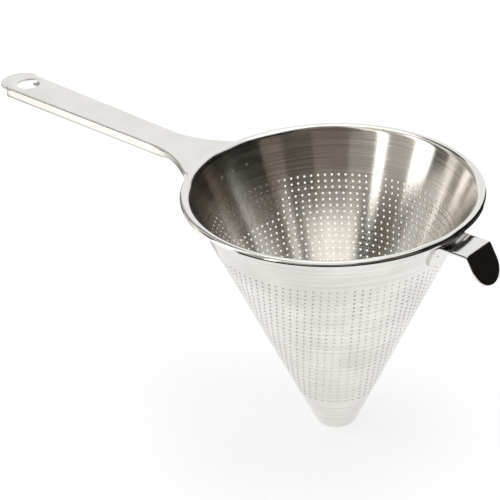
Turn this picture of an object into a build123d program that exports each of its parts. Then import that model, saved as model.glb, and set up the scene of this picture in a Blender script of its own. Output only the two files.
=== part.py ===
from build123d import *
import math
import os

os.makedirs("parts", exist_ok=True)

# Conical kitchen strainer in millimetres: the cone hangs tip down on Z, with the handle along -X
# and the rest hook along +X. The origin is the centre of the rolled rim, at the bead's mid height.
# A "drop" is a depth below that level, and an "out" is a distance outward from the rim's outside.

# Strainer cone, spun from one sheet
rim_diameter = 180.0            # over the rolled rim
cone_sheet = 0.7                # sheet thickness
cone_drop = 164.5               # down to the underside of the tip
tip_diameter = 24.6             # where the wall would meet the flat tip
tip_corner = 3.8                # inside radius between the wall and the tip
bead_diameter = 4.0             # height and width of the rolled rim
bead_step = 1.0                 # from the outside of the wall out to the bead
lead_in_extra = 1.16            # how much larger the lead-in radius is than the bead's reach from the wall
bead_turn = 265.0               # how far the sheet goes round the wire, in degrees
wire_clearance = 0.3            # all round the wire inside the bead
bead_flat = 45                  # the curl is modelled in flats of this many degrees
lead_flats = 2                  # flats along the lead-in from the wall to the bead
tip_flats = 3                   # flats round the corner of the tip
wire_flats = 6                  # sides of the wire

# Holes of the wall: a plain grid that thins out the fine pattern of the real wall
hole_size = 3.6                 # side of each square hole
hole_pitch = 19.6               # along a row
row_pitch = 14.3                # from row to row, in height
first_row_drop = 30.5
plain_nose = 30.0               # height of the nose without holes
hole_start_turn = -43.5         # azimuth of the line where every row starts, in degrees

# Handle, pressed from one sheet
handle_sheet = 1.2
handle_out = 203.0              # to the end of the handle
handle_drop = 6.2               # to the top of the root
handle_rise = 1.8               # upward slope of the grip, in degrees
grip_out = 51.0                 # to the start of the straight grip
grip_width_root = 24.2          # at the start of the grip
grip_width_end = 28.6           # at the rounded end
edge_fold = 0.4                 # inside radius of the folded edges
curl_fold = 1.1                 # inside radius of the curled lower edges
flange_height = 7.0             # from the top of the plate to the bottom of the curl
flare_radius = 70.0             # plan radius where the root widens
lip_height = 3.4                # height of the folded edge along the wide root
lip_full_out = 8.0              # to where the folded edge has that height
flange_fade_out = 30.0          # to where the lip starts to deepen into the flange
flange_full_out = 44.0          # to where the flange has its full height
hang_hole_diameter = 16.0
hang_hole_inset = 21.0          # from the end of the handle to the middle of the hole
root_bend = 4.0                 # inside radius where the plate turns down the cone
bend_flats = 3                  # flats round each bend from the cone to a level plate
leaf_width = 57.0
leaf_drop = 48.0                # to the lower end of the leaf
leaf_corner = 20.0

# Rest hook, bent from one strap
hook_sheet = 1.5
hook_width = 22.5
hook_out = 13.2                 # to the fold of the tongue
hook_drop = 4.8                 # to the top of the strap
hook_root_bend = 4.0            # inside radius where the strap leaves the cone
hook_fold_bend = 0.8            # inside radius of the fold
tongue_length = 21.0
tongue_splay = 30.0             # outward slope of the tongue, in degrees from vertical
hook_leaf_drop = 25.2           # to the lower end of the leaf

# Spot welds
weld_gap = 0.05                 # between the cone and the leaves welded to it
weld_diameter = 4.5
weld_crown = 0.2                # how far a weld stands proud of the sheets
weld_flats = 12                 # sides of each modelled weld
handle_weld_below = 5.3         # from the top of the plate down to the row of spots
handle_weld_spacing = 11.5
handle_weld_count = 3
hook_weld_below = 10.2
hook_weld_spacing = 10.0
hook_weld_count = 2

# Values worked out from the sizes above
rim_radius = rim_diameter / 2
bead_radius = bead_diameter / 2
bead_centre = rim_radius - bead_radius
wire_radius = bead_radius - cone_sheet - wire_clearance
wall_at_bead = bead_centre - bead_radius - bead_step
slope = (wall_at_bead - tip_diameter / 2) / cone_drop
half_angle = math.degrees(math.atan(slope))
lean = math.cos(math.radians(half_angle))
grip_start = rim_radius + grip_out
handle_end = rim_radius + handle_out
hook_fold = rim_radius + hook_out


def wall_outside(drop):
    """Radius of the outside of the wall at a depth below the middle of the bead."""
    return wall_at_bead - drop * slope


def on_circle(centre, radius, degrees):
    """Point at an angle on a circle in the plane of a profile."""
    angle = math.radians(degrees)
    return (centre[0] + radius * math.cos(angle), centre[1] + radius * math.sin(angle))


def arc(centre, radius, start, end):
    """Arc round a centre from one angle to another, in degrees."""
    return ThreePointArc(
        on_circle(centre, radius, start),
        on_circle(centre, radius, (start + end) / 2),
        on_circle(centre, radius, end),
    )


def flats(centre, radius, start, end, count):
    """Points that divide an arc into equal flats."""
    return [on_circle(centre, radius, start + (end - start) * step / count) for step in range(count + 1)]


def ring(lines):
    """Face from a list of lines and arcs, with a straight line across each gap between them."""
    joined = []
    for line, after in zip(lines, lines[1:] + lines[:1]):
        joined.append(line)
        if (line @ 1 - after @ 0).length > 1e-6:
            joined.append(Line(line @ 1, after @ 0))
    return make_face(joined)


# The sheet cut through the axis: tip, wall, lead-in and the bead curled over its wire
def cone_profile():
    bead = (bead_centre, 0.0)
    across = 180.0 - half_angle
    reach = (bead_centre - wall_outside(0.0)) * lean + cone_sheet
    lead = reach + lead_in_extra
    # The lead-in circle holds the bead circle and touches the wall
    swing = math.degrees(math.acos(lead_in_extra / (lead - bead_radius)))
    lead_centre = on_circle(bead, lead - bead_radius, across - swing + 180.0)
    curl_start = across - swing
    curl_end = curl_start - bead_turn
    # The bead's corners lie on its circle at whole steps, so its width and height are exact
    least = bead_flat / 3
    steps = [turn for turn in range(180, -360, -bead_flat) if curl_end + least < turn < curl_start - least]
    curl = [curl_start] + steps + [curl_end]
    inside = [on_circle(bead, bead_radius - cone_sheet, turn) for turn in curl]
    outside = [on_circle(bead, bead_radius, turn) for turn in curl]
    tip_outside = tip_corner + cone_sheet
    tip_centre_drop = cone_drop - tip_outside
    tip_centre = (wall_outside(tip_centre_drop) - tip_outside / lean, -tip_centre_drop)
    points = [(0.0, -cone_drop)]
    points += flats(tip_centre, tip_outside, -90.0, -half_angle, tip_flats)
    points += flats(lead_centre, lead - cone_sheet, across, curl_start, lead_flats)
    points += inside[1:] + outside[::-1]
    points += flats(lead_centre, lead, curl_start, across, lead_flats)[1:]
    points += flats(tip_centre, tip_corner, -half_angle, -90.0, tip_flats)
    points += [(0.0, cone_sheet - cone_drop)]
    return make_face(Polyline(*points, close=True))


def wall_holes():
    """Punches through the wall, square to it, in level rows that all start at the same line."""
    punches = []
    row_count = 1 + int((cone_drop - plain_nose - first_row_drop) / row_pitch)
    for row in range(row_count):
        drop = first_row_drop + row * row_pitch
        radius = wall_outside(drop)
        count = round(2 * math.pi * radius / hole_pitch)
        width = math.degrees(hole_size / radius)
        square = Pos(radius, -drop) * Rot(0.0, 0.0, 90.0 - half_angle) * Rectangle(hole_size, 4 * cone_sheet)
        punch = revolve(Plane.XZ * square, Axis.Z, width)
        for place in range(count):
            turn = hole_start_turn + 360.0 * (place + 0.5) / count
            punches.append(Rot(0.0, 0.0, turn - width / 2) * punch)
    return punches


def strainer_cone():
    spun = revolve(Plane.XZ * cone_profile(), Axis.Z)
    return spun - wall_holes()


def rim_wire():
    return revolve(Plane.XZ * Pos(bead_centre, 0.0) * RegularPolygon(wire_radius, wire_flats), Axis.Z)


# Leaf that follows the outside of the cone and turns out into a flat plate
def bend_points(drop, gap, radius):
    """Corners of the bend between a line along the cone, a gap off it, and a level line."""
    corner = wall_outside(drop) + gap / lean
    run = radius * math.tan(math.radians(90.0 - half_angle) / 2)
    return flats((corner + run, -drop - radius), radius, 180.0 - half_angle, 90.0, bend_flats)


def leaf_profile(top_drop, sheet, bend, bottom_drop, reach):
    """Section through the leaf, its bend and the plate, drawn on the +X side."""
    far_gap = weld_gap + sheet
    points = [(wall_outside(bottom_drop) + weld_gap / lean, -bottom_drop)]
    points += bend_points(top_drop, weld_gap, bend + sheet)
    points += [(reach, -top_drop), (reach, -top_drop - sheet)]
    points += bend_points(top_drop + sheet, far_gap, bend)[::-1]
    points += [(wall_outside(bottom_drop) + far_gap / lean, -bottom_drop)]
    return make_face(Polyline(*points, close=True))


def leaf(top_drop, sheet, bend, width, bottom_drop, corner, reach):
    """The whole leaf, trimmed to its width, with its lower corners rounded."""
    half = width / 2
    # The trimming outline starts above the plate and its corners may at most meet in the middle
    outline = Pos(0.0, -bottom_drop / 2) * Rectangle(width, bottom_drop)
    outline = fillet(outline.vertices().sort_by(Axis.Y)[:2], min(corner, 0.99 * half))
    turn = 2.0 * math.degrees(math.asin(width / 2 / (wall_outside(bottom_drop) - sheet))) + handle_rise
    profile = leaf_profile(top_drop, sheet, bend, bottom_drop + sheet, math.hypot(reach, width) + sheet)
    full = Rot(0.0, 0.0, -turn / 2) * revolve(Plane.XZ * profile, Axis.Z, turn)
    return full & extrude(Plane.YZ * outline, reach)


# One folded side of the grip: fold, flange and the lower edge curled inward
def side_section():
    """Section drawn with the outside of the flange at zero and the inside of the grip towards -X."""
    fold_outside = edge_fold + handle_sheet
    curl_outside = curl_fold + handle_sheet
    fold = (-fold_outside, -fold_outside)
    curl = (-curl_outside, curl_outside - flange_height)
    lap = -fold_outside - handle_sheet
    return ring([
        Line((lap, -handle_sheet), (lap, 0.0)),
        arc(fold, fold_outside, 90.0, 0.0),
        arc(curl, curl_outside, 0.0, -180.0),
        arc(curl, curl_fold, -180.0, 0.0),
        arc(fold, edge_fold, 0.0, 90.0),
    ])


def root_outline(inset, start, stop):
    """Plan of the root from the leaf's width to the grip's; inset moves both sides in."""
    radius = flare_radius + inset
    wide = leaf_width / 2 - inset
    centre = (grip_start, grip_width_root / 2 + flare_radius)
    widest = -180.0 + math.degrees(math.asin((centre[1] - wide) / radius))
    right = ring([
        Line((stop, 0.0), (start, 0.0)),
        Line((start, wide), on_circle(centre, radius, widest)),
        arc(centre, radius, widest, -90.0),
        Line((stop, centre[1] - radius), (stop, 0.0)),
    ])
    return right + mirror(right, Plane.XZ)


def handle_root():
    """Flared pan whose folded edge grows from the cone to the lip and then to the flange."""
    start = rim_radius - bead_diameter
    overlap = handle_sheet
    outside = extrude(root_outline(0.0, start, grip_start + overlap), -flange_height)
    hollow = root_outline(handle_sheet, start - overlap, grip_start + 2 * overlap)
    pan = outside - Pos(0.0, 0.0, -handle_sheet) * extrude(hollow, -flange_height)
    below = Polyline(
        (start - overlap, -handle_sheet),
        (start, -handle_sheet),
        (rim_radius + lip_full_out, -lip_height),
        (rim_radius + flange_fade_out, -lip_height),
        (rim_radius + flange_full_out, -flange_height),
        (rim_radius + flange_full_out, -2 * flange_height),
        (start - overlap, -2 * flange_height),
        close=True,
    )
    waste = extrude(Plane.XZ * make_face(below), leaf_width, both=True)
    return Pos(0.0, 0.0, -handle_drop) * (pan - waste)


def grip():
    """Folded channel with a flat round end and the hang hole, raised a little towards its end."""
    end_radius = grip_width_end / 2
    length = handle_end - end_radius - grip_start
    root_half = grip_width_root / 2
    widening = math.atan((end_radius - root_half) / length)
    fold_outside = edge_fold + handle_sheet
    plate = extrude(make_face(Polyline(
        (0.0, fold_outside - root_half),
        (length, fold_outside - end_radius),
        (length, end_radius - fold_outside),
        (0.0, root_half - fold_outside),
        close=True,
    )), -handle_sheet)
    # Each side runs along its own edge of the tapered plate
    edge = Plane(
        origin=(0.0, root_half, 0.0),
        x_dir=(-math.sin(widening), math.cos(widening), 0.0),
        z_dir=(math.cos(widening), math.sin(widening), 0.0),
    )
    side = extrude(edge * side_section(), length / math.cos(widening))
    disc = Pos(length, 0.0, -handle_sheet / 2) * Cylinder(end_radius, handle_sheet)
    hole = Pos(length + end_radius - hang_hole_inset, 0.0, 0.0)
    hole = hole * Cylinder(hang_hole_diameter / 2, 4 * handle_sheet)
    level = plate + side + mirror(side, Plane.XZ) + disc - hole
    return Pos(grip_start, 0.0, -handle_drop) * Rot(0.0, -handle_rise, 0.0) * level


def handle():
    neck_reach = rim_radius
    neck = leaf(handle_drop, handle_sheet, root_bend, leaf_width, leaf_drop, leaf_corner, neck_reach)
    return Rot(0.0, 0.0, 180.0) * (neck + handle_root() + grip())


# Strap and tongue of the rest hook
def hook_strap(start):
    """Flat strap folded down into the tongue, which ends in a full half circle."""
    splay = math.radians(tongue_splay)
    down = Vector(math.sin(splay), -math.cos(splay))
    inward = Vector(-math.cos(splay), -math.sin(splay)) * hook_sheet
    fold = Vector(hook_fold, -hook_drop)
    tip = fold + down * tongue_length
    under_fold = fold - Vector(hook_sheet * math.tan(math.pi / 4 - splay / 2), hook_sheet)
    face = make_face(Polyline(
        (start, -hook_drop), fold, tip, tip + inward, under_fold, (start, -hook_drop - hook_sheet), close=True
    ))
    face = fillet(face.vertices().sort_by_distance(fold)[0], hook_fold_bend + hook_sheet)
    face = fillet(face.vertices().sort_by_distance(under_fold)[0], hook_fold_bend)
    strap = extrude(Plane.XZ * face, hook_width / 2, both=True)
    # The corners of the tongue are cut square to its own face
    radius = hook_width / 2
    centre = Pos(tongue_length - radius, 0.0)
    corners = centre * Pos(radius, 0.0) * Rectangle(hook_width, 2 * hook_width) - centre * Circle(radius)
    tongue = Plane(
        origin=(hook_fold, 0.0, -hook_drop),
        x_dir=(down.X, 0.0, down.Y),
        z_dir=(math.cos(splay), 0.0, math.sin(splay)),
    )
    return strap - extrude(tongue * corners, 2 * hook_sheet, both=True)


def rest_hook():
    reach = rim_radius
    root = leaf(hook_drop, hook_sheet, hook_root_bend, hook_width, hook_leaf_drop, hook_width / 2, reach)
    return root + hook_strap(reach - hook_sheet)


def spot_welds(drop, spacing, count, sheet, side):
    """A row of fused spots that hold a leaf to the cone, each one square to the wall."""
    length = cone_sheet + weld_gap + sheet + 2 * weld_crown
    middle = (sheet + weld_gap - cone_sheet) / 2
    radius = wall_outside(drop)
    spots = []
    for place in range(count):
        turn = math.degrees((place - (count - 1) / 2) * spacing / radius)
        spot = Pos(radius, 0.0, -drop) * Rot(0.0, 90.0 + half_angle, 0.0) * Pos(0.0, 0.0, middle)
        nugget = extrude(RegularPolygon(weld_diameter / 2, weld_flats), length / 2, both=True)
        spots.append(Rot(0.0, 0.0, side + turn) * spot * nugget)
    return Compound(children=spots)


def handle_spot_welds():
    drop = handle_drop + handle_weld_below
    return spot_welds(drop, handle_weld_spacing, handle_weld_count, handle_sheet, 180.0)


def hook_spot_welds():
    drop = hook_drop + hook_weld_below
    return spot_welds(drop, hook_weld_spacing, hook_weld_count, hook_sheet, 0.0)


parts = {
    "strainer_cone": strainer_cone(),
    "rim_wire": rim_wire(),
    "handle": handle(),
    "rest_hook": rest_hook(),
    "handle_spot_welds": handle_spot_welds(),
    "hook_spot_welds": hook_spot_welds(),
}

for name, shape in parts.items():
    export_step(shape, f"parts/{name}.step")
    box = shape.bounding_box()
    print(name, "solids", len(shape.solids()), "volume", round(shape.volume, 1), box.min, box.max)
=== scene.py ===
# A conical kitchen strainer in Blender, step by step.
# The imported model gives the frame: origin at the centre of the rolled rim, +Z up, the tip down,
# the rest hook along +X and the handle along -X. Sizes below are in millimetres and are scaled
# to metres by MM when they go into a mesh. A drop is a depth below the middle of the rolled rim.

import math

import bmesh
import bpy
from mathutils import Matrix, Vector


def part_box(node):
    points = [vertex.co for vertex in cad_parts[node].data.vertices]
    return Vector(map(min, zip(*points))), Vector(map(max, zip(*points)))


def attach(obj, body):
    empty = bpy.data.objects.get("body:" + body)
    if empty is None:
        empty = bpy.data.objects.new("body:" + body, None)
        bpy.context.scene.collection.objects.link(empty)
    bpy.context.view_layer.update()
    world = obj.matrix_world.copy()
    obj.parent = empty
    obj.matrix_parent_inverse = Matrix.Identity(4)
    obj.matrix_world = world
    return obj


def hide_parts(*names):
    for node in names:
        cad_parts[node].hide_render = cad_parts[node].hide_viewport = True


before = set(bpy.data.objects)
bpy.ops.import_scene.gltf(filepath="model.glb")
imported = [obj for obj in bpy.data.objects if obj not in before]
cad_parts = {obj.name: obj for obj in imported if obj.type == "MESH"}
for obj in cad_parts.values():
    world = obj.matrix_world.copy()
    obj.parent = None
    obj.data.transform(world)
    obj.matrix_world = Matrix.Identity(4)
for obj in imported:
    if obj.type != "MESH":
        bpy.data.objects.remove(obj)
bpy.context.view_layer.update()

# %% [markdown]
# The strainer is sheet metal, so nearly every piece is a surface that gets a thickness at the end.
# The sizes are the ones that a maker would write on the drawing: the rim, the depth, the sheet, the
# rows of holes. What the frame already knows, such as the rim's radius, is read from it, so that
# the looks can't drift away from the model that they dress.

# %% Sizes of the cone
MM = 0.001
merge_distance = 0.01 * MM
cone_low, cone_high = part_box("strainer_cone")
rim_radius = cone_high.x / MM
cone_drop = -cone_low.z / MM
cone_sheet = 0.7
bead_radius = 2.0
bead_step = 1.0
bead_turn = 265.0
lead_in_extra = 1.16
tip_radius = 12.3
tip_corner = 4.5
bead_centre = rim_radius - bead_radius
wall_at_bead = bead_centre - bead_radius - bead_step
slope = (wall_at_bead - tip_radius) / cone_drop
half_angle = math.atan(slope)
lean = math.cos(half_angle)
print("rim radius", round(rim_radius, 2), "depth", round(cone_drop, 2))
print("half angle in degrees", round(math.degrees(half_angle), 2))

# %% The wall as a function
def wall_outside(drop):
    """Radius of the outside of the wall, in mm, at a depth below the middle of the bead."""
    return wall_at_bead - drop * slope


def round_axis(radius, turn, drop):
    """Point in metres from a radius and a drop in mm and an angle round the axis."""
    return Vector((radius * math.cos(turn), radius * math.sin(turn), -drop)) * MM


print("wall radius at the rim and the tip", wall_outside(0.0), round(wall_outside(cone_drop), 2))

# %% [markdown]
# The holes run in level rows. Each row starts at the same line down the wall and steps round at the
# same pitch, so it holds as many holes as its length allows, and the last gap is a little wider.
# A boolean with two thousand cutters would be slow and would leave a torn mesh. Instead one cell of
# the wall is made, a square with a round hole in it, and spun into a ring of cells. The rings are
# then joined by bridging, which copes with neighbours that have different numbers of holes.

# %% The pattern of the holes
hole_radius = 0.75
hole_pitch = 4.45
first_row_drop = 26.9
last_row_drop = 134.4
row_count = 31
row_step = (last_row_drop - first_row_drop) / (row_count - 1)
start_gap = 0.22
start_turn = math.radians(-43.5)
# A point as close as this to the start line, in radians, lies on it and stays there
start_line = 1e-4
hole_sides = 12
cell_share = 0.76


def holes_in_row(drop):
    """Number of holes that fit round the wall at a depth, less the gap at the start line."""
    return round(2 * math.pi * wall_outside(drop) / hole_pitch - start_gap)


row_drops = [first_row_drop + row * row_step for row in range(row_count)]
print("holes", sum(holes_in_row(drop) for drop in row_drops))

# %% One ring of cells
def hole_ring(drop):
    """Mesh of one row: a ring of square cells round the cone, each with its hole."""
    count = holes_in_row(drop)
    half_high = cell_share * row_step / lean / 2
    half_turn = math.pi / count
    middle = wall_outside(drop)
    ring = bmesh.new()
    turned = Matrix.Rotation(math.radians(180 / hole_sides), 4, "Z")
    made = bmesh.ops.create_circle(ring, segments=hole_sides, radius=hole_radius, matrix=turned)
    rim = set(made["verts"])
    bmesh.ops.extrude_edge_only(ring, edges=ring.edges[:])
    for vert in ring.verts:
        across, along = vert.co.x, vert.co.y
        turn = across / middle
        if vert not in rim:
            reach = max(abs(across), abs(along))
            turn = across / reach * half_turn
            along = along / reach * half_high
        place = drop - along * lean
        vert.co = round_axis(wall_outside(place), turn, place)
    cell = ring.verts[:] + ring.edges[:] + ring.faces[:]
    bmesh.ops.spin(ring, geom=cell, axis=(0, 0, 1), cent=(0, 0, 0),
                   angle=-2 * math.pi * (count - 1) / count, steps=count - 1, use_duplicate=True)
    bmesh.ops.remove_doubles(ring, verts=ring.verts[:], dist=merge_distance)
    # The ring is opened at its start line by a share of one pitch, and turned to where it starts
    for vert in ring.verts:
        turn = (math.atan2(vert.co.y, vert.co.x) + half_turn) % (2 * math.pi)
        if start_line < turn < 2 * math.pi - start_line:
            turn = (turn * count + start_gap * math.pi) / (count + start_gap)
        flat = math.hypot(vert.co.x, vert.co.y)
        turn += start_turn
        vert.co = Vector((flat * math.cos(turn), flat * math.sin(turn), vert.co.z))
    mesh = bpy.data.meshes.new("hole_ring")
    ring.to_mesh(mesh)
    ring.free()
    return mesh


sample = hole_ring(first_row_drop)
print("first ring", len(sample.vertices), "points", len(sample.polygons), "faces")

# %% [markdown]
# Turned sheet is drawn as a lathe makes it: one line from the side, spun once round the axis. The
# helpers below give arcs for such a line, spin it, turn its faces outwards and choose which edges
# look sharp. The last one hands a finished mesh to the frame, which needs to know the body that it
# rides on and the plain solid that it stands in for.

# %% Helpers for turned sheet
def arc_points(centre, radius, start, end, steps):
    """Points in mm on an arc in the plane of the radius and the height, angles in degrees."""
    points = []
    for step in range(steps + 1):
        angle = math.radians(start + (end - start) * step / steps)
        points.append((centre[0] + radius * math.cos(angle), centre[1] + radius * math.sin(angle)))
    return points


def add_turned(bm, points, steps):
    """Spins a profile of (radius, height) points in mm through a full turn into bm."""
    verts = [bm.verts.new(Vector((radius, 0.0, height)) * MM) for radius, height in points]
    edges = [bm.edges.new(pair) for pair in zip(verts, verts[1:])]
    bmesh.ops.spin(bm, geom=verts + edges, axis=(0, 0, 1), cent=(0, 0, 0), angle=2 * math.pi,
                   steps=steps, use_merge=True)


def face_outward(bm, outward):
    """Recalculates the normals and turns them to agree with a direction worked out per face."""
    bmesh.ops.recalc_face_normals(bm, faces=bm.faces[:])
    side = sum(face.normal.dot(outward(face)) * face.calc_area() for face in bm.faces)
    if side < 0:
        bmesh.ops.reverse_faces(bm, faces=bm.faces[:])


def away_from_axis(face):
    """Direction away from the axis and a little down, which is outwards on the wall and the tip."""
    centre = face.calc_center_median()
    slightly_down = Vector((0.0, 0.0, -0.2))
    return Vector((centre.x, centre.y, 0.0)).normalized() + slightly_down


def mark_sharp(bm, degrees=35.0):
    """Smooths every face and keeps as sharp the edges that turn by more than an angle."""
    limit = math.radians(degrees)
    for edge in bm.edges:
        edge.smooth = len(edge.link_faces) == 2 and edge.calc_face_angle(0.0) < limit
    for face in bm.faces:
        face.smooth = True


def make_piece(bm, name, slot, *nodes):
    """Turns a bmesh into a piece of the strainer that stands for its nodes."""
    mesh = bpy.data.meshes.new(name)
    bm.to_mesh(mesh)
    bm.free()
    piece = bpy.data.objects.new(name, mesh)
    bpy.context.scene.collection.objects.link(piece)
    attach(piece, "root")
    if nodes:
        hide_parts(*nodes)
    print(name, len(mesh.vertices), "points", len(mesh.polygons), "faces")
    return piece


print("middle of a quarter arc", [round(value, 3) for value in arc_points((0, 0), 1, 0, 90, 2)[1]])

# %% [markdown]
# Above the wall the sheet sweeps out in a wide lead-in before it is rolled into the bead. The lead-in
# is an arc that leaves the wall without a kink and meets the bead without one, so its middle follows
# from the wall's slope and the bead's place. The wall ends a little below it, at a seam.

# %% Lead-in and seam
seam_below_lead = 1.5
reach = (bead_centre - wall_outside(0.0)) * lean + cone_sheet
lead_radius = reach + lead_in_extra
swing = math.degrees(math.acos(lead_in_extra / (lead_radius - bead_radius)))
wall_angle = 180.0 - math.degrees(half_angle)
lead_centre = (
    bead_centre + (lead_radius - bead_radius) * math.cos(math.radians(wall_angle - swing + 180.0)),
    (lead_radius - bead_radius) * math.sin(math.radians(wall_angle - swing + 180.0)),
)
seam = arc_points(lead_centre, lead_radius - cone_sheet, wall_angle, wall_angle, 1)[0]
seam_drop = -seam[1] + seam_below_lead
print("lead-in radius", round(lead_radius, 2), "seam at a depth of", round(seam_drop, 2))

# %% [markdown]
# The wall is closed in three steps. The rings of holes go in at their heights, the plain strips above
# and below are spun, and each open row of edges is bridged to its neighbour. The steps of a strip
# match the points of the ring that it touches, so those meet without a gap.

# %% Joining the rings into the wall
def boundary_at(bm, height, within=0.002):
    """Open edges whose two ends lie at one height, in mm."""
    found = []
    for edge in bm.edges:
        if edge.is_boundary and all(abs(vert.co.z / MM - height) < within for vert in edge.verts):
            found.append(edge)
    return found


half_cell = cell_share * row_step / 2
strip = (1 - cell_share) * row_step
edges_per_cell = hole_sides // 4
tip_corner_rows = 8

wall = bmesh.new()
for drop in row_drops:
    wall.from_mesh(hole_ring(drop))
top_of_holes = first_row_drop - half_cell - strip
end_of_holes = last_row_drop + half_cell + strip
tip_centre_drop = cone_drop - tip_corner
tip_centre = (wall_outside(tip_centre_drop) - tip_corner / lean, -tip_centre_drop)
top_steps = edges_per_cell * holes_in_row(first_row_drop)
tip_steps = edges_per_cell * holes_in_row(last_row_drop)
top_strip = [(wall_outside(drop), -drop) for drop in (seam_drop, top_of_holes)]
add_turned(wall, top_strip, top_steps)
tip = [(wall_outside(end_of_holes), -end_of_holes)]
tip += arc_points(tip_centre, tip_corner, -math.degrees(half_angle), -90.0, tip_corner_rows)
tip += [(tip_centre[0] / 2, -cone_drop), (0.0, -cone_drop)]
add_turned(wall, tip, tip_steps)
bmesh.ops.remove_doubles(wall, verts=wall.verts[:], dist=merge_distance)
heights = [-top_of_holes]
for drop in row_drops:
    heights += [-(drop - half_cell), -(drop + half_cell)]
heights.append(-end_of_holes)
rows_of_edges = [boundary_at(wall, height) for height in heights]
for above, below in zip(rows_of_edges[0::2], rows_of_edges[1::2]):
    bmesh.ops.bridge_loops(wall, edges=above + below)
print("edges in the first open rows", [len(edges) for edges in rows_of_edges[:4]], "rows", row_count)

# %% [markdown]
# The sheet gets its thickness inwards, so the outside keeps the size on the drawing. Flat faces round
# a cone would break its reflections into facets, and smooth shading would bend them at every hole.
# So the two big faces are given the normal that a true cone has there, and the rest keep their own.

# %% Thickness and exact normals of the wall
def cone_normals(mesh, nearly_square=0.8):
    """Gives the cone's own normal to each corner on its two faces, so that reflections run true."""
    normals = []
    top = -(seam_drop - 0.01) * MM + MM
    end = -(tip_centre_drop - 1.0) * MM
    for face in mesh.polygons:
        for loop in face.loop_indices:
            co = mesh.vertices[mesh.loops[loop].vertex_index].co
            flat = math.hypot(co.x, co.y)
            # A normal of zero length tells Blender to keep its own
            normal = Vector((0.0, 0.0, 0.0))
            if end < co.z < top and flat > 0:
                outward = Vector((co.x / flat * lean, co.y / flat * lean, -math.sin(half_angle)))
                side = face.normal.dot(outward)
                if abs(side) > nearly_square:
                    normal = outward * (1 if side > 0 else -1)
            normals.append(normal)
    mesh.normals_split_custom_set(normals)


face_outward(wall, away_from_axis)
bmesh.ops.solidify(wall, geom=wall.faces[:], thickness=cone_sheet * MM)
mark_sharp(wall)
strainer_wall = make_piece(wall, "strainer_wall", "cone_steel", "strainer_cone")
cone_normals(strainer_wall.data)
print("triangles", sum(len(face.vertices) - 2 for face in strainer_wall.data.polygons))

# %% [markdown]
# The rim is the same sheet rolled outward round a wire. It is turned as one closed section, with as
# many steps as the wall has at its top, so the two meet point to point and no gap shows.

# %% Rolled rim
lead_steps, bead_steps, inner_bead_steps = 10, 40, 30
rim_merge_distance = 0.002 * MM


def rim_section():
    """Closed section of the rolled rim in mm, from the top of the wall round the bead and back."""
    start_angle = wall_angle - swing
    curl_end = start_angle - bead_turn
    middle, inner_radius = (bead_centre, 0.0), bead_radius - cone_sheet
    foot = (wall_outside(seam_drop), -seam_drop)
    inner_foot = (foot[0] - lean * cone_sheet, foot[1] + math.sin(half_angle) * cone_sheet)
    section = [inner_foot]
    section += arc_points(lead_centre, lead_radius, wall_angle, start_angle, lead_steps)
    section += arc_points(middle, bead_radius, start_angle, curl_end, bead_steps)[1:]
    section += arc_points(middle, inner_radius, curl_end, start_angle, inner_bead_steps)
    inner_lead_radius = lead_radius - cone_sheet
    section += arc_points(lead_centre, inner_lead_radius, start_angle, wall_angle, lead_steps)[1:]
    section.append(foot)
    return section


section = rim_section()
rim = bmesh.new()
add_turned(rim, section + section[:1], top_steps)
bmesh.ops.remove_doubles(rim, verts=rim.verts[:], dist=rim_merge_distance)
bmesh.ops.recalc_face_normals(rim, faces=rim.faces[:])
mark_sharp(rim, 50.0)
rolled_rim = make_piece(rim, "rolled_rim", "cone_steel", "strainer_cone")
print("rim width", round(rolled_rim.dimensions.x / MM, 2), "points in its section", len(section))

# %% [markdown]
# The handle starts as a leaf that lies on the outside of the cone, turns out level, flares in to
# the grip and has its edges folded down. Along the grip the lower edges are also curled in, so a
# hand meets no sharp edge. It is one sheet, so it is drawn as one grid: the rows run along the
# handle and the columns run across it and on round the fold, the side and the curl.

# %% Sizes of the handle
handle_sheet = 1.2
handle_drop = 6.2
handle_rise = math.radians(1.8)
handle_end = -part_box("handle")[0].x / MM
grip_start = rim_radius + 51.0
grip_half_root = 12.1
grip_half_end = 14.3
fold_outside = 1.6
curl_outside = 2.3
flange_height = 7.0
flare_radius = 70.0
lip_height = 3.4
leaf_half = 28.5
leaf_drop = 48.0
leaf_corner = 20.0
root_bend = 4.0
weld_gap = 0.05
hang_hole_radius = 8.0
hang_hole_inset = 21.0
handle_edge_round = 0.15
end_centre = handle_end - grip_half_end
print("handle end", round(handle_end, 1), "grip from", grip_start, "to", round(end_centre, 1))

# %% Where the handle's edges change, as distances out from the axis
leaf_shape_end = 94.0
bow_lead, bow_end = 6, 106.0
fold_start, fold_full = 87.0, 95.0
depth_start, depth_full = 120.0, 136.0
curl_start, curl_full = 126.0, 141.0


def smooth_step(value, low, high):
    """Share from 0 to 1 that leaves low and reaches high without a kink."""
    share = min(max((value - low) / (high - low), 0.0), 1.0)
    return share * share * (3 - 2 * share)


print("half way along the fold", smooth_step((fold_start + fold_full) / 2, fold_start, fold_full))

# %% [markdown]
# The handle and the hook both start as a leaf that lies on the cone and turns out level under the
# rim. One function draws that line for both, from the sheet and the bend that each of them has. The
# leaf stands off the wall by the small gap that a weld leaves.

# %% Leaf and bend shared by the handle and the hook
bend_rows = 8
handle_leaf_rows = 18


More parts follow.
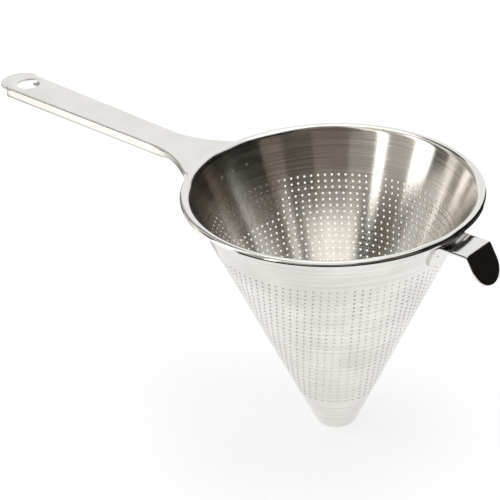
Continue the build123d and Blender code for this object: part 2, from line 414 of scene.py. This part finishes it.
def leaf_line(top_drop, sheet, bend, bottom_drop, steps):
    """Points (radius, height) in mm up the cone side of a leaf and round its bend to the plate."""
    near = weld_gap / lean
    outer_bend = bend + sheet
    corner_angle = math.pi / 2 - half_angle
    corner_run = outer_bend * math.tan(corner_angle / 2)
    corner = (wall_outside(top_drop) + near, -top_drop)
    foot = (corner[0] - corner_run * math.sin(half_angle), corner[1] - corner_run * lean)
    points = []
    for step in range(steps):
        share = step / steps
        drop = bottom_drop + (-foot[1] - bottom_drop) * share
        points.append((wall_outside(drop) + near, -drop))
    centre = (corner[0] + corner_run, corner[1] - outer_bend)
    points += arc_points(centre, outer_bend, 180.0 - math.degrees(half_angle), 90.0, bend_rows)
    return points


def leaf_half_width(height, half, bottom_drop, corner):
    """Half the width of a leaf at a height, with its lower corners rounded."""
    into = max(0.0, -height - (bottom_drop - corner))
    least = 0.04
    return half - corner + math.sqrt(max(corner * corner - into * into, least))


line = leaf_line(handle_drop, handle_sheet, root_bend, leaf_drop, handle_leaf_rows)
print("the handle's leaf and bend end at", [round(value, 1) for value in line[-1]])

# %% Width and edges of the handle
def plate_half_width(out):
    """Half the width over the folds, from the leaf's width through the flare to the grip."""
    if out >= grip_start:
        share = (out - grip_start) / (end_centre - grip_start)
        return grip_half_root + (grip_half_end - grip_half_root) * share
    inside = flare_radius ** 2 - (grip_start - out) ** 2
    flare = grip_half_root + flare_radius - math.sqrt(max(inside, 0.0))
    return min(leaf_half, flare)


def edge_section(out):
    """Fold angle, length of the straight side and curl angle of the edge at a distance out."""
    fold = math.pi / 2 * smooth_step(out, fold_start, fold_full)
    depth = lip_height + (flange_height - lip_height) * smooth_step(out, depth_start, depth_full)
    curl = math.pi * smooth_step(out, curl_start, curl_full)
    side = depth - fold_outside - curl_outside * math.sin(min(curl, math.pi / 2))
    return fold, side * fold / (math.pi / 2), curl


print("fold, side and curl along the grip", [round(value, 2) for value in edge_section(curl_full)])

# %% Rows and columns of the handle
bend_radius_out = line[-1][0]
root_end = 110.0
past_flare = 3.0
root_rows, flare_rows, grip_rows = 14, 20, 30
outs = [bend_radius_out + (root_end - bend_radius_out) * step / root_rows
        for step in range(1, root_rows + 1)]
outs += [root_end + (grip_start + past_flare - root_end) * step / flare_rows
         for step in range(1, flare_rows + 1)]
outs += [grip_start + past_flare + (end_centre - grip_start - past_flare) * step / grip_rows
         for step in range(1, grip_rows + 1)]
plate_columns, fold_columns, curl_columns = 8, 6, 10
side_columns = plate_columns + fold_columns + 1 + curl_columns
print("rows", len(line) + len(outs), "columns", 2 * side_columns + 1)

# %% [markdown]
# A sheet keeps its length when it is folded, so each column past the fold is placed by how far along
# the sheet it lies: first down the straight side, then round the curl. Near the leaf the columns are
# spread evenly instead and bow round the cone, and past the flare the whole grip rises a little.

# %% Places on the handle's sheet
def edge_offset(out, column, half):
    """Lateral place and depth in mm of a column on one side of the handle."""
    fold, side, curl = edge_section(out)
    flat = half - fold_outside
    if column <= plate_columns:
        return flat * column / plate_columns, 0.0
    turned = fold * min(column - plate_columns, fold_columns) / fold_columns
    place = flat + fold_outside * math.sin(turned)
    depth = fold_outside * (1 - math.cos(turned))
    if column > plate_columns + fold_columns:
        # The columns past the fold share out the length of the straight side and the curl
        share = (column - plate_columns - fold_columns) / (curl_columns + 1)
        run = share * (side + curl * curl_outside)
        place += min(run, side) * math.cos(fold)
        depth += min(run, side) * math.sin(fold)
        rolled = max(run - side, 0.0) / curl_outside
        place += curl_outside * (math.sin(fold + rolled) - math.sin(fold))
        depth += curl_outside * (math.cos(fold) - math.cos(fold + rolled))
    return place, depth


def handle_point(row, column):
    """Place in metres of one grid point on the top of the handle's sheet."""
    side = 1 if column >= 0 else -1
    if row < len(line):
        radius, height = line[row]
        half = leaf_half_width(height, leaf_half, leaf_drop, leaf_corner)
        across_place = side * half * abs(column) / side_columns
        out = math.sqrt(radius * radius - across_place ** 2)
        return Vector((-out, -across_place, height)) * MM
    out = outs[row - len(line)]
    place, depth = edge_offset(out, abs(column), plate_half_width(out))
    even = plate_half_width(out) * abs(column) / side_columns
    near_leaf = 1 - smooth_step(out, bend_radius_out, leaf_shape_end)
    place += (even - place) * near_leaf
    bow = bend_radius_out - math.sqrt(bend_radius_out ** 2 - place ** 2)
    bow *= 1 - smooth_step(out, bend_radius_out - bow_lead, bow_end)
    level = Vector((out - bow - grip_start, -depth))
    if out > grip_start:
        run, rise = level
        level = Vector((run * math.cos(handle_rise) - rise * math.sin(handle_rise),
                        run * math.sin(handle_rise) + rise * math.cos(handle_rise)))
    return Vector((-(grip_start + level.x), -side * place, level.y - handle_drop)) * MM


last_row = len(line) + len(outs) - 1
print("last row of the grip in mm", [round(value / MM, 1) for value in handle_point(last_row, 0)])

# %% Helpers for pressed sheet
def sheet_grid(bm, rows, columns, place):
    """Grid of rows by columns, each point put where place(row, column) says."""
    made = bmesh.ops.create_grid(bm, x_segments=columns, y_segments=rows, size=1.0)
    lines = [[None] * (columns + 1) for row in range(rows + 1)]
    for vert in made["verts"]:
        column = round((vert.co.x + 1) / 2 * columns)
        row = round((vert.co.y + 1) / 2 * rows)
        lines[row][column] = vert
    for row, points in enumerate(lines):
        for column, vert in enumerate(points):
            vert.co = place(row, column)
    return lines


def soften_edges(bm, width, degrees=55.0):
    """Small round on every sharp edge, as tumbling leaves on cut sheet."""
    limit = math.radians(degrees)
    sharp = [edge for edge in bm.edges if edge.is_manifold and edge.calc_face_angle(0.0) > limit]
    bmesh.ops.bevel(bm, geom=sharp, offset=width * MM, offset_type="OFFSET", affect="EDGES",
                    segments=2, profile=0.5, material=-1, clamp_overlap=True)


plate = bmesh.new()
total_rows = len(line) + len(outs)
lines = sheet_grid(plate, total_rows - 1, 2 * side_columns,
                   lambda row, column: handle_point(row, column - side_columns))
print("grid of the handle", len(lines), "rows of", len(lines[0]), "points")

# %% [markdown]
# A round hole doesn't fit a grid of squares. So the grid is cut away before it reaches the hang hole,
# the half circle of the grip's end is drawn, and the outline of what is left open is extruded inwards
# on to the hole's edge. That makes one ring of faces, which joins the grid and the hole cleanly.

# %% Round end and hang hole of the handle
rows_at_hole = 6
round_steps = 40
stop = total_rows - rows_at_hole
near_side, far_side = side_columns + plate_columns, side_columns - plate_columns
end_points = {vert for points in lines[stop:] for vert in points[far_side:near_side + 1]}
end_faces = [face for face in plate.faces if end_points.issuperset(face.verts)]
bmesh.ops.delete(plate, geom=end_faces, context="FACES")
grip_root = Matrix.Translation(Vector((-grip_start, 0.0, -handle_drop)) * MM)
tilt = grip_root @ Matrix.Rotation(handle_rise, 4, "Y")
reach_out = end_centre - grip_start
round_end = []
for step in range(1, round_steps):
    turn = math.pi / 2 + math.pi * step / round_steps
    along = -reach_out + grip_half_end * math.cos(turn)
    spot = Vector((along, grip_half_end * math.sin(turn), 0.0)) * MM
    round_end.append(plate.verts.new(tilt @ spot))
loop = [points[far_side] for points in lines[:stop:-1]]
loop += lines[stop][far_side:near_side + 1]
loop += [points[near_side] for points in lines[stop + 1:]]
loop += round_end[::-1]
outline = []
for pair in zip(loop, loop[1:] + loop[:1]):
    outline.append(plate.edges.get(pair) or plate.edges.new(pair))
hole_out = handle_end - hang_hole_inset - grip_start
hole_place = tilt @ Matrix.Translation(Vector((-hole_out, 0.0, 0.0)) * MM)
# The outline is drawn in towards the middle of the hole, each point to its place on the hole's edge
for vert in bmesh.ops.extrude_edge_only(plate, edges=outline)["geom"]:
    if isinstance(vert, bmesh.types.BMVert):
        inward = hole_place.inverted() @ vert.co
        direction = Vector((inward.x, inward.y, 0.0)).normalized()
        vert.co = hole_place @ (direction * hang_hole_radius * MM)
print("points on the edge of the hang hole", len(outline))

# %% Thickness and soft edges of the handle
nearly_level = 0.95
bmesh.ops.recalc_face_normals(plate, faces=plate.faces[:])
grip = [face for face in plate.faces if face.calc_center_median().x < -grip_start * MM]
top = [face for face in grip if abs(face.normal.z) > nearly_level]
if sum(face.normal.z for face in top) < 0:
    bmesh.ops.reverse_faces(plate, faces=plate.faces[:])
bmesh.ops.solidify(plate, geom=plate.faces[:], thickness=handle_sheet * MM)
soften_edges(plate, handle_edge_round)
mark_sharp(plate, 40.0)
handle_piece = make_piece(plate, "handle_plate", "handle_steel", "handle")
print("handle size in mm", [round(size / MM, 1) for size in handle_piece.dimensions])

# %% [markdown]
# The rest hook is one strap: a leaf on the cone, a bend, a short shelf and a tongue folded down,
# with a full half circle at its end. It holds the strainer level on the side of a deep pot. It is
# drawn as the handle is, as rows that each have a place, a half width and a share of the cone's bow.

# %% Sizes of the rest hook
hook_sheet = 1.5
hook_half = 11.25
hook_drop = 4.8
hook_bend = 4.0
hook_leaf_drop = 25.2
hook_fold = rim_radius + 13.2
hook_fold_inside = 0.8
fold_bend = hook_fold_inside + hook_sheet
tongue_length = 21.0
tongue_splay = math.radians(30.0)
hook_edge_round = 0.2
leaf_rows, shelf_rows, fold_rows, tongue_rows, tip_rows = 14, 6, 8, 5, 14
half_strap_columns = 8
# The last row stops just short of the end of the half circle, so that it keeps a width
tip_turn = math.radians(88.0)
print("hook out to", hook_fold, "tongue", tongue_length)

# %% Rows of the rest hook
hook_line = leaf_line(hook_drop, hook_sheet, hook_bend, hook_leaf_drop, leaf_rows)
hook_rows = []
for radius, height in hook_line:
    half = leaf_half_width(height, hook_half, hook_leaf_drop, hook_half)
    hook_rows.append(((radius, height), half, 1.0))
down = (math.sin(tongue_splay), -math.cos(tongue_splay))
fold_turn = math.pi / 2 - tongue_splay
fold_run = fold_bend * math.tan(fold_turn / 2)
for step in range(1, shelf_rows + 1):
    out = hook_line[-1][0] + (hook_fold - fold_run - hook_line[-1][0]) * step / shelf_rows
    hook_rows.append(((out, -hook_drop), hook_half, 1 - smooth_step(step, 0, shelf_rows)))
fold_centre = (hook_fold - fold_run, -hook_drop - fold_bend)
fold_arc = arc_points(fold_centre, fold_bend, 90.0, 90.0 - math.degrees(fold_turn), fold_rows)
hook_rows += [(point, hook_half, 0.0) for point in fold_arc[1:]]
straight = tongue_length - hook_half - fold_run
tongue = [(fold_run + straight * step / tongue_rows, hook_half) for step in range(1, tongue_rows + 1)]
for step in range(1, tip_rows + 1):
    turn = tip_turn * step / tip_rows
    tongue.append((fold_run + straight + hook_half * math.sin(turn), hook_half * math.cos(turn)))
for along, half in tongue:
    hook_rows.append(((hook_fold + down[0] * along, -hook_drop + down[1] * along), half, 0.0))
print("rows of the hook", len(hook_rows))

# %% Rest hook
def hook_point(row, column):
    """Place in metres of one grid point on the top of the strap."""
    (radius, height), half, bow = hook_rows[row]
    place = half * (column - half_strap_columns) / half_strap_columns
    out = radius - bow * (radius - math.sqrt(radius * radius - place * place))
    return Vector((out, place, height)) * MM


strap = bmesh.new()
sheet_grid(strap, len(hook_rows) - 1, 2 * half_strap_columns, hook_point)
bmesh.ops.recalc_face_normals(strap, faces=strap.faces[:])
if sum(face.normal.z * face.calc_area() for face in strap.faces) < 0:
    bmesh.ops.reverse_faces(strap, faces=strap.faces[:])
bmesh.ops.solidify(strap, geom=strap.faces[:], thickness=hook_sheet * MM)
soften_edges(strap, hook_edge_round)
mark_sharp(strap, 40.0)
hook_piece = make_piece(strap, "hook_strap", "hook_steel", "rest_hook")
print("hook size in mm", [round(size / MM, 1) for size in hook_piece.dimensions])

# %% [markdown]
# Resistance welds join the leaves to the cone. Two electrodes press the sheets together and melt
# them at a spot, so each weld shows as a small bright pip on both faces. A squashed ball is enough.

# %% Spot welds
pip_radius = 0.85
pip_flatness = 0.35
handle_weld_drop, handle_weld_spacing = handle_drop + 5.3, 11.5
hook_weld_drop, hook_weld_spacing = hook_drop + 10.2, 10.0


def weld_pips(name, drop, spacing, count, sheet, side, node):
    """Row of small domed pips inside the cone and on the face of the leaf."""
    pips = bmesh.new()
    radius = wall_outside(drop)
    square_to_wall = Matrix.Rotation(math.pi / 2 + half_angle, 4, "Y")
    flattened = Matrix.Diagonal((1.0, 1.0, pip_flatness, 1.0))
    for index in range(count):
        turn = Matrix.Rotation(side + (index - (count - 1) / 2) * spacing / radius, 4, "Z")
        on_wall = turn @ Matrix.Translation(Vector((radius, 0.0, -drop)) * MM)
        for depth in (-cone_sheet, weld_gap + sheet):
            place = on_wall @ square_to_wall @ Matrix.Translation((0.0, 0.0, depth * MM)) @ flattened
            bmesh.ops.create_uvsphere(pips, u_segments=16, v_segments=10,
                                      radius=pip_radius * MM, matrix=place)
    mark_sharp(pips)
    return make_piece(pips, name, "weld_steel", node)


handle_pips = weld_pips("handle_weld_pips", handle_weld_drop, handle_weld_spacing, 3,
                        handle_sheet, math.pi, "handle_spot_welds")
hook_pips = weld_pips("hook_weld_pips", hook_weld_drop, hook_weld_spacing, 2,
                      hook_sheet, 0.0, "hook_spot_welds")

# %% [markdown]
# All the metal is stainless steel, finished in different ways. The cone was brushed while it was
# spun, so its grain runs round it; the handle was tumbled dull after it was pressed; the hook and
# the rim are brighter. The small class below lets the sums in a finish be written as sums.

# %% Writing a finish
class Wire:
    """A socket of a node tree that can be added, multiplied and compared like a number."""

    def __init__(self, tree, socket=None):
        self.tree, self.socket = tree, socket

    def node(self, kind, settings=None, inputs=None, output=0):
        """Makes a node: its settings first, then values or wires for its inputs."""
        made = self.tree.nodes.new(kind)
        for name, value in (settings or {}).items():
            setattr(made, name, value)
        for name, value in (inputs or {}).items():
            if isinstance(value, Wire):
                self.tree.links.new(value.socket, made.inputs[name])
            else:
                made.inputs[name].default_value = value
        return Wire(self.tree, made.outputs[output])

    def sum(self, operation, *items):
        return self.node("ShaderNodeMath", {"operation": operation}, dict(enumerate(items)))

    def __add__(self, other):
        return self.sum("ADD", self, other)

    def __radd__(self, other):
        return self.sum("ADD", other, self)

    def __sub__(self, other):
        return self.sum("SUBTRACT", self, other)

    def __rsub__(self, other):
        return self.sum("SUBTRACT", other, self)

    def __mul__(self, other):
        return self.sum("MULTIPLY", self, other)

    def __rmul__(self, other):
        return self.sum("MULTIPLY", other, self)

    def clamp(self, low=0.0, high=1.0):
        return self.sum("MINIMUM", self.sum("MAXIMUM", self, low), high)

    def ramp(self, low, high, start=0.0, end=1.0):
        """Smooth change from start to end as the wire goes from low to high."""
        limits = {"From Min": low, "From Max": high, "To Min": start, "To Max": end}
        return self.node("ShaderNodeMapRange", {"interpolation_type": "SMOOTHSTEP"},
                         {"Value": self, **limits})

    def colour(self, first, second):
        """Colour between two others by the wire's value."""
        mixed = self.node("ShaderNodeMix", {"data_type": "RGBA"}, {0: self}, output=2)
        mixed.socket.node.inputs[6].default_value = (*first, 1.0)
        mixed.socket.node.inputs[7].default_value = (*second, 1.0)
        return mixed


def new_finish(name, **constants):
    """A material, its shader and its wire maker, with the constant sockets set."""
    finish = bpy.data.materials.new(name)
    finish.use_nodes = True
    shader = finish.node_tree.nodes["Principled BSDF"]
    for socket, value in constants.items():
        shader.inputs[socket.replace("_", " ")].default_value = value
    return finish, shader, Wire(finish.node_tree)


def connect(wire, shader, socket):
    """Links a wire to one of the shader's sockets."""
    wire.tree.links.new(wire.socket, shader.inputs[socket])


def noise(place, scale, detail, **others):
    """Cloud of soft spots at a scale, read at a place."""
    inputs = {"Vector": place, "Scale": scale, "Detail": detail, **others}
    return place.node("ShaderNodeTexNoise", inputs=inputs)


def scratch(height, relief, depth=0.00002):
    """Bump of two hundredths of a millimetre."""
    inputs = {"Height": height, "Strength": relief, "Distance": depth}
    return height.node("ShaderNodeBump", inputs=inputs)


object_place = 3
print("finishes read their place from output", object_place, "of Texture Coordinate, called Object")

# %% [markdown]
# Brush lines are a noise that is stretched along the way the brush went. Here that is round the axis,
# so the noise is read at a place that moves quickly with the height and the distance from the axis
# and slowly round it. The anisotropic sheen is turned the same way, which draws a lamp out into the
# bright fans that spun metal shows. The tumbled steel needs no direction, so plain noise does.

# %% Steel brushed round the axis
round_scale, height_scale, outward_scale = 14.0, 2600.0, 900.0


def brushed_round(name, colour, dull, roughness, spread, anisotropic, relief):
    """Steel with a fine grain that runs round the axis."""
    finish, shader, maker = new_finish(name, Metallic=1.0, Anisotropic=anisotropic,
                                       Anisotropic_Rotation=0.25)
    place = maker.node("ShaderNodeTexCoord", output=object_place)
    x, y, z = [place.node("ShaderNodeSeparateXYZ", inputs={0: place}, output=axis) for axis in range(3)]
    flat = maker.sum("SQRT", x * x + y * y)
    along = (z * height_scale) + (flat * outward_scale)
    stretched = {0: x * round_scale, 1: y * round_scale, 2: along}
    lines = maker.node("ShaderNodeCombineXYZ", inputs=stretched)
    grain = noise(lines, 1.0, 3.0, Roughness=0.6)
    broad = noise(place, 22.0, 2.0)
    tone = (grain * 0.6 + broad * 0.4).ramp(0.35, 0.65)
    connect(tone.colour(dull, colour), shader, "Base Color")
    connect((grain.ramp(0.3, 0.7) - 0.5) * spread + roughness, shader, "Roughness")
    connect(scratch(grain, relief), shader, "Normal")
    return finish


cone_finish = brushed_round("brushed_cone", (0.96, 0.938, 0.90), (0.68, 0.66, 0.628),
                            roughness=0.17, spread=0.08, anisotropic=0.9, relief=0.5)
rim_finish = brushed_round("bright_rim", (0.80, 0.79, 0.77), (0.76, 0.75, 0.73),
                           roughness=0.1, spread=0.04, anisotropic=0.3, relief=0.05)
print("brushed finishes", cone_finish.name, rim_finish.name)

# %% Satin steel
def satin(name, colour, dull, roughness, spread, relief):
    """Steel with a tumbled, cloudy surface and a few faint marks."""
    finish, shader, maker = new_finish(name, Metallic=1.0)
    place = maker.node("ShaderNodeTexCoord", output=object_place)
    cloud = noise(place, 45.0, 3.0)
    fine = noise(place, 1800.0, 2.0)
    marks = noise(place, 95.0, 1.0)
    stain = marks.ramp(0.66, 0.74) * 0.3
    tone = (cloud.ramp(0.35, 0.65) * 0.7 + stain).clamp()
    connect(tone.colour(colour, dull), shader, "Base Color")
    connect((cloud - 0.5) * spread + roughness, shader, "Roughness")
    connect(scratch(fine, relief), shader, "Normal")
    return finish


handle_finish = satin("satin_handle", (0.80, 0.785, 0.76), (0.76, 0.74, 0.71),
                      roughness=0.26, spread=0.12, relief=0.15)
hook_finish = satin("bright_hook", (0.78, 0.77, 0.75), (0.74, 0.73, 0.71),
                    roughness=0.14, spread=0.08, relief=0.08)
weld_finish = satin("weld_pip", (0.84, 0.82, 0.79), (0.74, 0.71, 0.66),
                    roughness=0.2, spread=0.1, relief=0.1)
print("satin finishes", handle_finish.name, hook_finish.name, weld_finish.name)

# %% Finishes on their pieces
finish_of_pieces = (
    (strainer_wall, cone_finish),
    (rolled_rim, rim_finish),
    (handle_piece, handle_finish),
    (hook_piece, hook_finish),
    (handle_pips, weld_finish),
    (hook_pips, weld_finish),
)
for piece, finish in finish_of_pieces:
    piece.data.materials.clear()
    piece.data.materials.append(finish)
# The lead-in inside the rim was brushed with the wall
lead_in_width = 2.5
facing_in = 0.5
rolled_rim.data.materials.append(cone_finish)
for face in rolled_rim.data.polygons:
    flat = math.hypot(face.center.x, face.center.y)
    inward = -(face.normal.x * face.center.x + face.normal.y * face.center.y) / flat
    in_lead = inward > facing_in and flat < (rim_radius - lead_in_width) * MM
    face.material_index = 1 if in_lead else 0
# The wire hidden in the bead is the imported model's own mesh, and only gets a finish
wire_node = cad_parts["rim_wire"]
wire_node.data.materials.clear()
wire_node.data.materials.append(hook_finish)
print("pieces with a finish", len(finish_of_pieces) + 1)

# %% [markdown]
# The strainer stands on its tip on a white floor, as it does in a picture for a shop, held by nothing
# that shows. To the camera the world is plain white whatever light there is, and the floor is three
# quarters plain white. The last quarter is its own shading, so that the soft shadow stays.

# %% Floor
plain_share = 0.75
floor_half = 6.0


def white_in_view(tree):
    """Share of light that shows as plain white to the camera and in reflections."""
    path = Wire(tree).node("ShaderNodeLightPath")
    outputs = path.socket.node.outputs
    camera_ray = Wire(tree, outputs["Is Camera Ray"])
    glossy_ray = Wire(tree, outputs["Is Glossy Ray"])
    transmission_ray = Wire(tree, outputs["Is Transmission Ray"])
    return (camera_ray + glossy_ray + transmission_ray).clamp()


floor_mesh = bpy.data.meshes.new("floor")
floor_shape = bmesh.new()
bmesh.ops.create_grid(floor_shape, x_segments=2, y_segments=2, size=floor_half)
floor_shape.to_mesh(floor_mesh)
floor_shape.free()
floor = bpy.data.objects.new("floor", floor_mesh)
floor.location.z = -cone_drop * MM
bpy.context.scene.collection.objects.link(floor)
floor_finish, floor_shader, floor_maker = new_finish("white_floor", Roughness=0.9)
floor_shader.inputs["Base Color"].default_value = (0.98, 0.98, 0.98, 1.0)
floor_shader.inputs["Specular IOR Level"].default_value = 0.0
# Most of what the camera sees of the floor is plain white, and the rest keeps the shadow
floor_tree = floor_finish.node_tree
white = floor_maker.node("ShaderNodeEmission", inputs={"Strength": 1.0})
mixed = floor_maker.node("ShaderNodeMixShader", inputs={0: white_in_view(floor_tree) * plain_share})
floor_tree.links.new(floor_shader.outputs[0], mixed.socket.node.inputs[1])
floor_tree.links.new(white.socket, mixed.socket.node.inputs[2])
floor_tree.links.new(mixed.socket, floor_tree.nodes["Material Output"].inputs["Surface"])
floor_mesh.materials.append(floor_finish)
print("floor at", round(floor.location.z, 4))

# %% World
world = bpy.data.worlds.new("studio")
bpy.context.scene.world = world
world.use_nodes = True
back = world.node_tree.nodes["Background"]
seen = white_in_view(world.node_tree)
shade = seen.ramp(0.0, 1.0).colour((0.75, 0.75, 0.75), (1.0, 1.0, 1.0))
world.node_tree.links.new(shade.socket, back.inputs["Color"])
back.inputs["Strength"].default_value = 1.0
print("world", world.name)

# %% [markdown]
# Polished steel has hardly a colour of its own and shows what stands round it, so a studio lights it
# with screens: bright cloth where the steel should flash and black cloth where it should go deep.
# The bands inside the cone and the black of the hook's tongue are such screens. Each one is a part of
# a dome, given by its turn round the axis and its height, both in degrees. They light nothing and the
# camera doesn't see them, so they can be moved until each band lies where it should.

# %% Screens round the strainer
screen_rows, screen_columns = 12, 24


def add_screen(name, from_turn, to_turn, low, high, shade, distance=2.5):
    """Part of a dome of cloth or light round the strainer that shows only in reflections."""
    screen = bmesh.new()
    rise = [low + (high - low) * step / screen_rows for step in range(screen_rows + 1)]
    verts = []
    for angle in map(math.radians, rise):
        out, up = distance * math.cos(angle), distance * math.sin(angle)
        start = math.radians(from_turn)
        verts.append(screen.verts.new((out * math.cos(start), out * math.sin(start), up)))
    edges = [screen.edges.new(pair) for pair in zip(verts, verts[1:])]
    bmesh.ops.spin(screen, geom=verts + edges, axis=(0, 0, 1), cent=(0, 0, 0),
                   angle=math.radians(to_turn - from_turn), steps=screen_columns)
    mesh = bpy.data.meshes.new(name)
    screen.to_mesh(mesh)
    screen.free()
    made = bpy.data.objects.new(name, mesh)
    bpy.context.scene.collection.objects.link(made)
    finish, shader, _ = new_finish(name + "_cloth", Roughness=1.0, Emission_Strength=1.0)
    shader.inputs["Base Color"].default_value = (0.0, 0.0, 0.0, 1.0)
    shader.inputs["Specular IOR Level"].default_value = 0.0
    shader.inputs["Emission Color"].default_value = (*shade, 1.0)
    mesh.materials.append(finish)
    made.visible_camera = False
    made.visible_shadow = False
    made.visible_diffuse = False
    made.visible_transmission = False
    return made


screens = (
    ("black_side", 12, 60, -3, 58, (0.012, 0.010, 0.008)),
    ("dark_side", 60, 97, -3, 45, (0.012, 0.010, 0.008)),
    ("brown_side", -8, 12, -3, 60, (0.15, 0.12, 0.10)),
    ("deep_brown_side", -34, -8, -3, 45, (0.09, 0.077, 0.064)),
    ("camera_side", -66, -34, -3, 32, (0.19, 0.163, 0.137)),
    ("grey_side", -90, -66, -3, 32, (0.35, 0.32, 0.285)),
    ("narrow_light", -99, -90, -3, 42, (2.2, 2.15, 2.05)),
    ("grey_between", -124, -99, -3, 80, (0.42, 0.39, 0.35)),
    ("wide_light", -142, -124, -3, 50, (2.2, 2.15, 2.05)),
    ("dark_left", -158, -142, -3, 80, (0.10, 0.09, 0.08)),
    ("pale_left", -170, -158, -3, 80, (0.8, 0.76, 0.7)),
    ("dim_left", -200, -170, -3, 35, (0.42, 0.39, 0.35)),
    ("dark_back", 148, 178, 36, 56, (0.05, 0.045, 0.04)),
    ("ceiling", 40, 210, 58, 82, (1.7, 1.65, 1.56)),
)
for screen in screens:
    add_screen(*screen)
print("screens", len(screens))

# %% [markdown]
# The outside of the cone and the underside of the rim look down at the table, so some cards lie flat
# on it, a little above the floor. Two more stand close over the mouth like a hood, between the far
# side of the rim and the bright cloth, and keep that side of the rim dark. A card is a screen whose
# points are moved: the share of the way up it becomes the share from one distance to another.

# %% Cards close to the strainer
def add_card(name, from_turn, to_turn, near, far, low, high, shade):
    """Band of card bent round the axis, from one distance and height to another."""
    one_degree = 1.0
    card = add_screen(name, from_turn, to_turn, 0, one_degree, shade, 1.0)
    for vert in card.data.vertices:
        turn = math.atan2(vert.co.y, vert.co.x)
        share = vert.co.z / math.sin(math.radians(one_degree))
        out = near + (far - near) * share
        vert.co = (out * math.cos(turn), out * math.sin(turn), low + (high - low) * share)
    return card


table = -cone_drop * MM + 0.001
over_table = table + 0.001
hood_out, hood_low, hood_high = 0.085, 0.075, 1.5
cards = (
    ("dark_table", -118, 80, 0.24, 2.4, table, table, (0.012, 0.011, 0.01)),
    ("dark_corner", 152, 180, 0.4, 2.4, over_table, over_table, (0.05, 0.045, 0.04)),
    ("white_table", -164, -124, 0.24, 1.0, table, table, (1.35, 1.33, 1.3)),
    ("grey_table", -200, -164, 0.2, 1.0, table, table, (0.62, 0.6, 0.56)),
    ("brown_hood", -92, 2, hood_out, hood_out, hood_low, hood_high, (0.14, 0.12, 0.10)),
    ("black_hood", 2, 50, hood_out, hood_out, hood_low, hood_high, (0.012, 0.011, 0.01)),
)
for card in cards:
    add_card(*card)
print("cards", len(cards))

# %% [markdown]
# Two large soft lamps give the floor its shadow and the satin handle its even light. They are kept
# out of reflections, because the screens do that work.

# %% Lamps
def add_lamp(name, place, aim, size, power):
    """Large soft area lamp turned towards a point."""
    lamp = bpy.data.lights.new(name, "AREA")
    lamp.shape = "DISK"
    lamp.size = size
    lamp.energy = power
    made = bpy.data.objects.new(name, lamp)
    made.location = place
    made.rotation_euler = (Vector(aim) - Vector(place)).to_track_quat("-Z", "Y").to_euler()
    made.visible_glossy = False
    bpy.context.scene.collection.objects.link(made)
    return made


middle_of_cone = (0.0, 0.0, -0.1)
top_lamp = add_lamp("top_lamp", (0.2, 0.3, 1.6), middle_of_cone, size=1.2, power=14.0)
side_lamp = add_lamp("side_lamp", (-1.2, -1.0, 1.1), middle_of_cone, size=0.9, power=6.0)
print("lamps", top_lamp.name, side_lamp.name)

# %% [markdown]
# The camera stands where the picture was taken from. Its place, its direction and its lens follow
# from the ellipse of the rim, the axis of the cone and the line of the handle. It was held a little
# askew, so it is rolled about its own line of sight before it is set.

# %% Camera
eye = Vector((501.1, -610.9, 409.5)) * MM
forward = Vector((-0.5931, 0.6360, -0.4937)).normalized()
level_right = forward.cross(Vector((0.0, 0.0, 1.0))).normalized()
level_up = level_right.cross(forward)
roll = math.radians(-2.775)
right = level_right * math.cos(roll) + level_up * math.sin(roll)
upward = -level_right * math.sin(roll) + level_up * math.cos(roll)
camera_data = bpy.data.cameras.new("camera")
camera_data.sensor_width = 36.0
camera_data.lens = 108.59
camera_data.clip_start = 0.01
camera_data.clip_end = 50.0
camera = bpy.data.objects.new("camera", camera_data)
camera.matrix_world = Matrix((
    (right.x, upward.x, -forward.x, eye.x),
    (right.y, upward.y, -forward.y, eye.y),
    (right.z, upward.z, -forward.z, eye.z),
    (0.0, 0.0, 0.0, 1.0),
))
bpy.context.scene.collection.objects.link(camera)
bpy.context.scene.camera = camera
bpy.context.scene.view_settings.view_transform = "Standard"
print("camera at", [round(value, 3) for value in eye], "lens", camera_data.lens)
